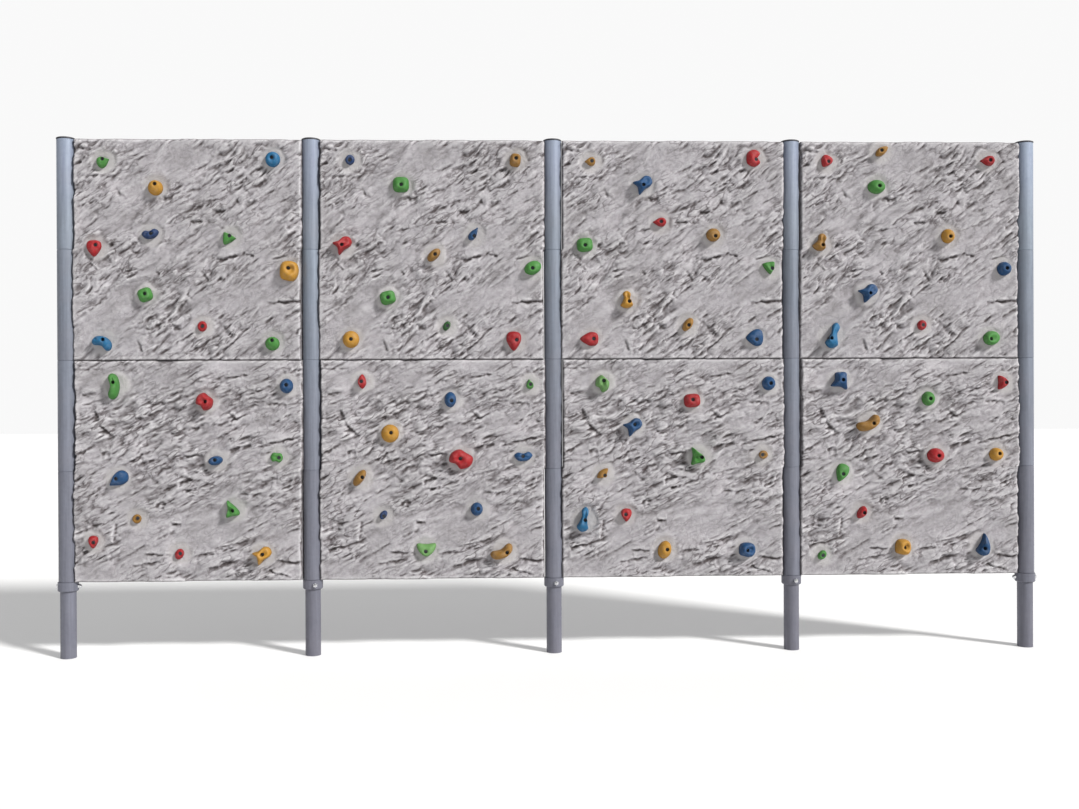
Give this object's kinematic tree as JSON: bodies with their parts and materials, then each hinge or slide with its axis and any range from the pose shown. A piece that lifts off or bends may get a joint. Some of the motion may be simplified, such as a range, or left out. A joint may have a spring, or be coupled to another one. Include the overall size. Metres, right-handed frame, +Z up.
{
  "type": "rock climbing wall",
  "caption": "Low traverse climbing wall: rock-textured concrete panels hung between round steel posts by interleaved tube sleeves, with bolt-on coloured resin holds.",
  "frame": {"origin": "foot of the middle post, on its axis, at ground level", "axes": "+X along the wall to the climber's right, +Y from the climbing face to the back, +Z up"},
  "size_m": [4.913, 0.1513, 2.563],
  "materials": {
    "galvanised_steel": "hot-dip galvanised, weathered to a dull mottled grey",
    "bright_fastener": "bright stainless steel",
    "plated_socket": "zinc plated, turned",
    "reinforcing_steel": "plain drawn bar, cast in",
    "cap": "dark grey, semi-matt",
    "concrete": "precast concrete with a rock relief, warm light grey with dark crevices",
    "hold_red": "cast resin with fine grit",
    "hold_blue": "cast resin with fine grit",
    "hold_green": "cast resin with fine grit",
    "hold_yellow": "cast resin with fine grit"
  },
  "bodies": {
    "wall": {"post_1": "galvanised_steel", "post_2": "galvanised_steel", "post_3": "galvanised_steel", "post_4": "galvanised_steel", "post_5": "galvanised_steel", "post_cap_1": "cap", "post_cap_2": "cap", "post_cap_3": "cap", "post_cap_4": "cap", "post_cap_5": "cap", "stop_collar_1": "galvanised_steel", "stop_collar_2": "galvanised_steel", "stop_collar_3": "galvanised_steel", "stop_collar_4": "galvanised_steel", "stop_collar_5": "galvanised_steel", "collar_bolts": "bright_fastener", "collar_dome_nuts": "bright_fastener", "hinge_sleeve_upper_1_left": "galvanised_steel", "hinge_sleeve_upper_1_right": "galvanised_steel", "hinge_sleeve_upper_2_left": "galvanised_steel", "hinge_sleeve_upper_2_right": "galvanised_steel", "hinge_sleeve_upper_3_left": "galvanised_steel", "hinge_sleeve_upper_3_right": "galvanised_steel", "hinge_sleeve_upper_4_left": "galvanised_steel", "hinge_sleeve_upper_4_right": "galvanised_steel", "hinge_sleeve_lower_1_left": "galvanised_steel", "hinge_sleeve_lower_1_right": "galvanised_steel", "hinge_sleeve_lower_2_left": "galvanised_steel", "hinge_sleeve_lower_2_right": "galvanised_steel", "hinge_sleeve_lower_3_left": "galvanised_steel", "hinge_sleeve_lower_3_right": "galvanised_steel", "hinge_sleeve_lower_4_left": "galvanised_steel", "hinge_sleeve_lower_4_right": "galvanised_steel", "spacer_sleeve_left_low": "galvanised_steel", "spacer_sleeve_right_high": "galvanised_steel", "spacer_sleeve_right_foot": "galvanised_steel", "panel_upper_1": "concrete", "panel_upper_2": "concrete", "panel_upper_3": "concrete", "panel_upper_4": "concrete", "panel_lower_1": "concrete", "panel_lower_2": "concrete", "panel_lower_3": "concrete", "panel_lower_4": "concrete", "reinforcement_mesh": "reinforcing_steel", "hold_sockets": "plated_socket", "hold_bolts": "bright_fastener", "holds_red_round": "hold_red", "holds_red_edge": "hold_red", "holds_red_jug": "hold_red", "holds_blue_round": "hold_blue", "holds_blue_edge": "hold_blue", "holds_blue_jug": "hold_blue", "holds_green_round": "hold_green", "holds_green_edge": "hold_green", "holds_green_jug": "hold_green", "holds_yellow_round": "hold_yellow", "holds_yellow_edge": "hold_yellow", "holds_yellow_jug": "hold_yellow"},
    "spacer": {"spacer_sleeve_left_top": "galvanised_steel"}
  },
  "joints": [
    {"name": "spacer_spin", "type": "hinge", "parent": "wall", "child": "spacer", "pos_m": [-2.4, 0, 2.2825], "axis": [0, 0, 1], "continuous": true}
  ]
}
